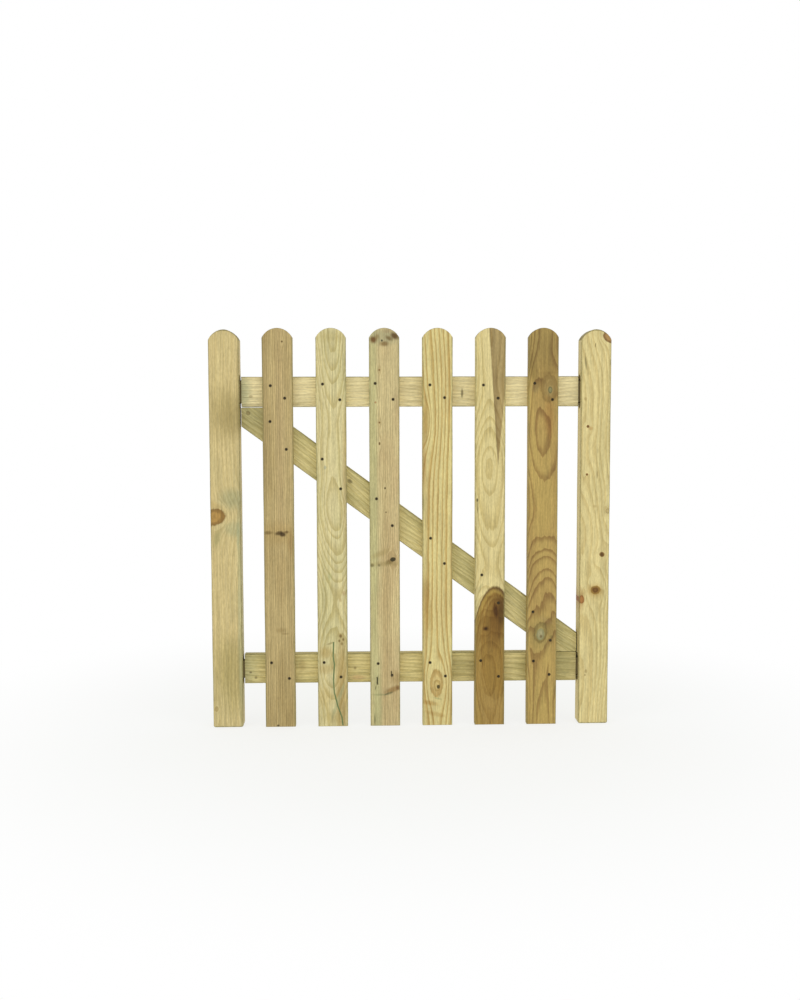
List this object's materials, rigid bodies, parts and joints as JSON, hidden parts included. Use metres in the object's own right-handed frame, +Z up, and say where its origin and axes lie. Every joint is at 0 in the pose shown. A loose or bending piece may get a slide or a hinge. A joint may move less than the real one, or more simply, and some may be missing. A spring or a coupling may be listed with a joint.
{
  "type": "garden gate",
  "caption": "Timber garden gate leaf with round-topped pales nailed to two tenoned rails and a diagonal brace between thick stiles.",
  "frame": {"origin": "on the ground, at the bottom middle of the leaf's overall box: midway across its width and midway through its thickness", "axes": "+X to the right seen from the front (the side with the pales), towards the stile at the brace's foot; +Y from the front to the back; +Z up"},
  "size_m": [0.9, 0.045, 0.9],
  "materials": {
    "stile_wood": "planed pressure-treated softwood, pale straw with a faint green tint",
    "rail_wood": "planed pressure-treated softwood, pale cream",
    "brace_wood": "planed pressure-treated softwood, green-tan",
    "pale_wood": "planed pressure-treated softwood, tan and brown with bold grain",
    "nail_steel": "dull weathered zinc"
  },
  "bodies": {
    "root": {"left_stile": "stile_wood", "right_stile": "stile_wood", "top_rail": "rail_wood", "bottom_rail": "rail_wood", "diagonal_brace": "brace_wood", "pale_1": "pale_wood", "pale_2": "pale_wood", "pale_3": "pale_wood", "pale_4": "pale_wood", "pale_5": "pale_wood", "pale_6": "pale_wood", "pale_1_nails": "nail_steel", "pale_2_nails": "nail_steel", "pale_3_nails": "nail_steel", "pale_4_nails": "nail_steel", "pale_5_nails": "nail_steel", "pale_6_nails": "nail_steel", "top_left_tenon_nails": "nail_steel", "top_right_tenon_nails": "nail_steel", "bottom_left_tenon_nails": "nail_steel", "bottom_right_tenon_nails": "nail_steel"}
  },
  "joints": []
}
